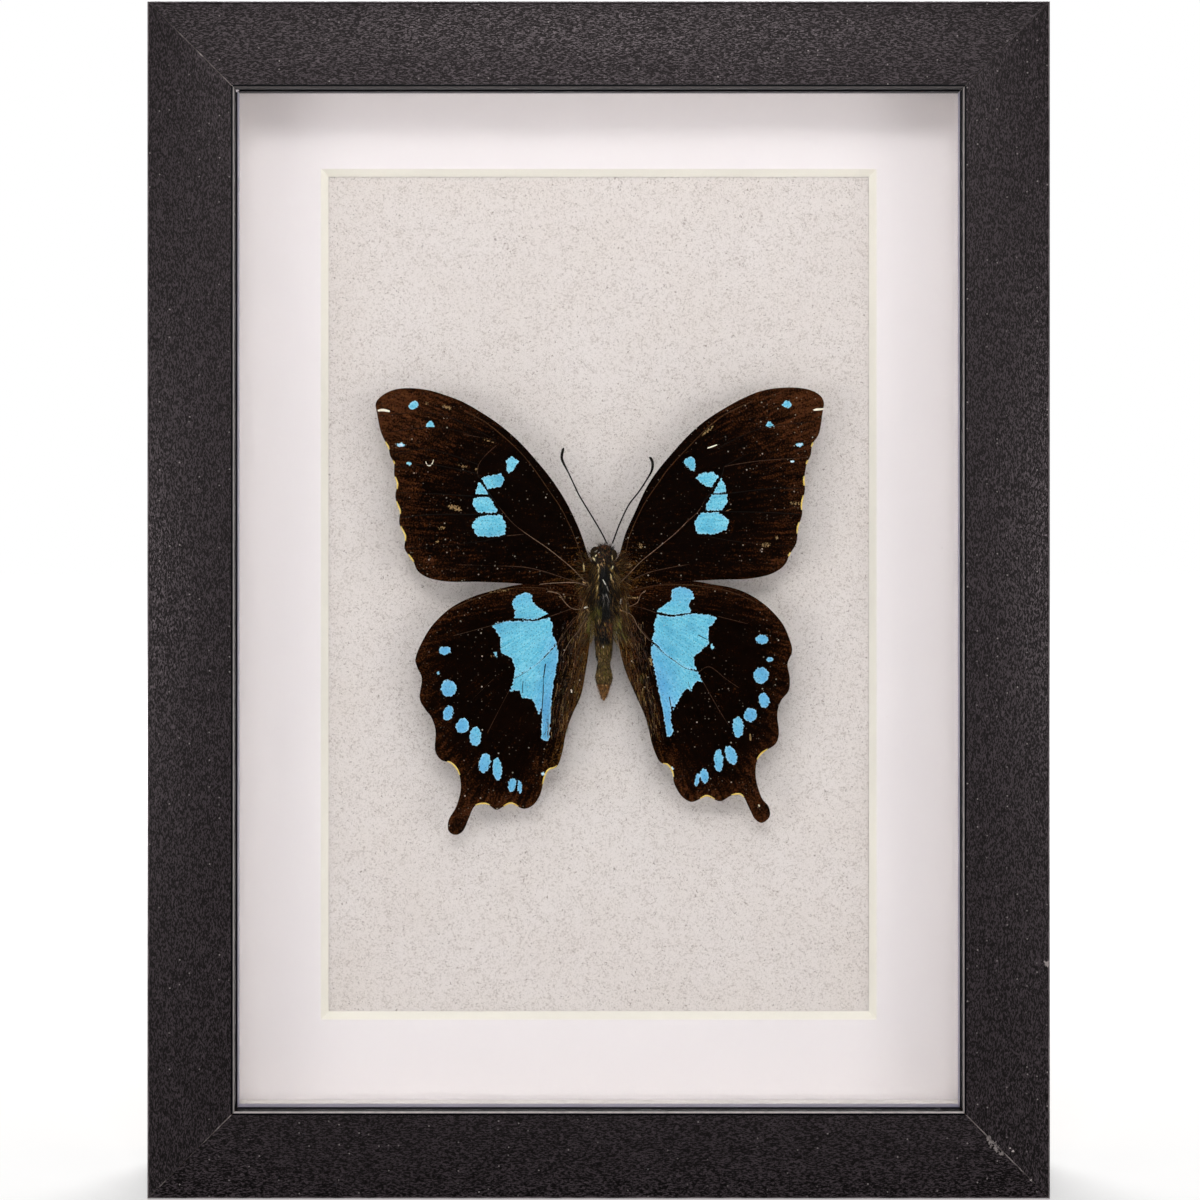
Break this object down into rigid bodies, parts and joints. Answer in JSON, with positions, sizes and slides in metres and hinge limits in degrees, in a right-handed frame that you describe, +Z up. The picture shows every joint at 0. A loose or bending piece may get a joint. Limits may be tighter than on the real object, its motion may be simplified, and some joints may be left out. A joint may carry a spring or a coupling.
{
  "type": "framed butterfly specimen",
  "caption": "Dried swallowtail butterfly set with open wings on a pin in a deep black box frame, behind glass and a white bevelled window mat.",
  "frame": {"origin": "under the middle of the bottom rail, at the middle of the frame's width and depth, on the surface it stands on", "axes": "+Z up the height of the frame, +X to the right as seen from the front, +Y towards the back; the glass and the butterfly face -Y"},
  "size_m": [0.154, 0.034, 0.2043],
  "materials": {
    "black_rail": "satin",
    "glass_pane": "polished",
    "white_card": "matte",
    "mat_board": "matte",
    "speckled_paper": "matte",
    "foam_board": "matte",
    "hardboard": "matte",
    "zinc_tab": "satin",
    "brassed_hanger": "satin",
    "insect_body": "matte",
    "wing_scales": "satin",
    "insect_limb": "satin",
    "steel_pin": "polished"
  },
  "bodies": {
    "root": {"rail_bottom": "black_rail", "rail_top": "black_rail", "rail_left": "black_rail", "rail_right": "black_rail", "glass": "glass_pane", "spacer_bottom": "white_card", "spacer_top": "white_card", "spacer_left": "white_card", "spacer_right": "white_card", "window_mat": "mat_board", "backing_paper": "speckled_paper", "pinning_foam": "foam_board", "back_board": "hardboard", "tab_bottom": "zinc_tab", "tab_top": "zinc_tab", "tab_left_lower": "zinc_tab", "tab_left_upper": "zinc_tab", "tab_right_lower": "zinc_tab", "tab_right_upper": "zinc_tab", "hanger": "brassed_hanger", "brad_left": "brassed_hanger", "brad_right": "brassed_hanger", "body": "insect_body", "forewing_left": "wing_scales", "forewing_right": "wing_scales", "hindwing_left": "wing_scales", "hindwing_right": "wing_scales", "antenna_left": "insect_limb", "antenna_right": "insect_limb", "leg_front_left": "insect_limb", "leg_front_right": "insect_limb", "leg_middle_left": "insect_limb", "leg_middle_right": "insect_limb", "leg_hind_left": "insect_limb", "leg_hind_right": "insect_limb", "pin": "steel_pin"}
  },
  "joints": []
}
